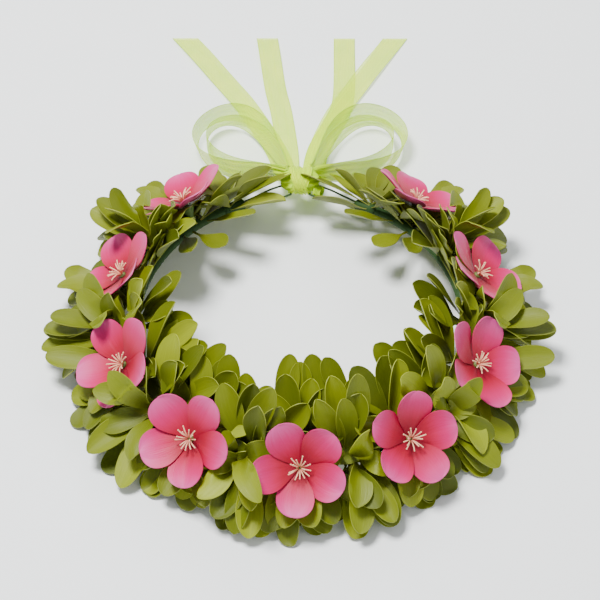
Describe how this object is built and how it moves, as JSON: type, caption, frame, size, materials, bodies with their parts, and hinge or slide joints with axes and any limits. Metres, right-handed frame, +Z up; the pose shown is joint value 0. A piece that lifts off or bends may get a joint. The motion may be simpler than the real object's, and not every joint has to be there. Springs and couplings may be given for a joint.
{
  "type": "flower crown",
  "caption": "Wired fabric flower crown: pink five-petal blossoms and green leaf sprays on a taped band, tied at the back by an organza ribbon bow.",
  "frame": {"origin": "on the axis of the head opening, in the plane of the surface that the crown lies on", "axes": "+Z up along the head opening's axis; +Y towards the bow at the back; the front blossom is at -Y; +X is the viewer's right with the front facing them"},
  "size_m": [0.2812, 0.3626, 0.0606],
  "materials": {
    "core_wire": "drawn steel wire",
    "floral_tape": "wound crepe floral tape, dark green",
    "eye_wire": "paper-covered dark green wire",
    "petal_satin": "satin, crimson at the centre and pale pink at the rim",
    "stamen": "pale peach threads with small tips",
    "calyx": "moulded dark green plastic",
    "leaf_fabric": "stiffened polyester leaf cloth, olive green",
    "organza": "sheer lime organza with a firmer edge"
  },
  "bodies": {
    "crown": {"band_wire": "core_wire", "band_tape": "floral_tape", "end_bindings": "floral_tape", "left_eye_wire": "eye_wire", "right_eye_wire": "eye_wire", "bow_knot": "organza", "petals_1": "petal_satin", "petals_2": "petal_satin", "petals_3": "petal_satin", "petals_4": "petal_satin", "petals_5": "petal_satin", "petals_6": "petal_satin", "petals_7": "petal_satin", "petals_8": "petal_satin", "petals_9": "petal_satin", "stamens_1": "stamen", "stamens_2": "stamen", "stamens_3": "stamen", "stamens_4": "stamen", "stamens_5": "stamen", "stamens_6": "stamen", "stamens_7": "stamen", "stamens_8": "stamen", "stamens_9": "stamen", "calyx_1": "calyx", "calyx_2": "calyx", "calyx_3": "calyx", "calyx_4": "calyx", "calyx_5": "calyx", "calyx_6": "calyx", "calyx_7": "calyx", "calyx_8": "calyx", "calyx_9": "calyx", "spray_01": "leaf_fabric", "spray_02": "leaf_fabric", "spray_03": "leaf_fabric", "spray_04": "leaf_fabric", "spray_05": "leaf_fabric", "spray_06": "leaf_fabric", "spray_07": "leaf_fabric", "spray_08": "leaf_fabric", "spray_09": "leaf_fabric", "spray_10": "leaf_fabric", "spray_11": "leaf_fabric", "spray_12": "leaf_fabric", "spray_13": "leaf_fabric", "spray_14": "leaf_fabric", "spray_15": "leaf_fabric", "spray_16": "leaf_fabric", "spray_17": "leaf_fabric", "spray_18": "leaf_fabric", "spray_19": "leaf_fabric"},
    "left_loops": {"left_outer_loop": "organza", "left_inner_loop": "organza"},
    "right_loops": {"right_outer_loop": "organza", "right_inner_loop": "organza"},
    "left_tails": {"left_outer_tail": "organza", "left_inner_tail": "organza"},
    "right_tails": {"right_inner_tail": "organza", "right_outer_tail": "organza"}
  },
  "joints": [
    {"name": "left_loops_lift", "type": "hinge", "parent": "crown", "child": "left_loops", "pos_m": [-0.008, 0.11, 0.024], "axis": [0, 1, 0], "range_deg": [0, 70]},
    {"name": "right_loops_lift", "type": "hinge", "parent": "crown", "child": "right_loops", "pos_m": [0.008, 0.11, 0.024], "axis": [0, -1, 0], "range_deg": [0, 70]},
    {"name": "left_tails_drop", "type": "hinge", "parent": "crown", "child": "left_tails", "pos_m": [-0.0066, 0.1072, 0.017], "axis": [1, 0, 0], "range_deg": [-85, 0]},
    {"name": "right_tails_drop", "type": "hinge", "parent": "crown", "child": "right_tails", "pos_m": [0.0066, 0.1072, 0.017], "axis": [1, 0, 0], "range_deg": [-85, 0]}
  ]
}
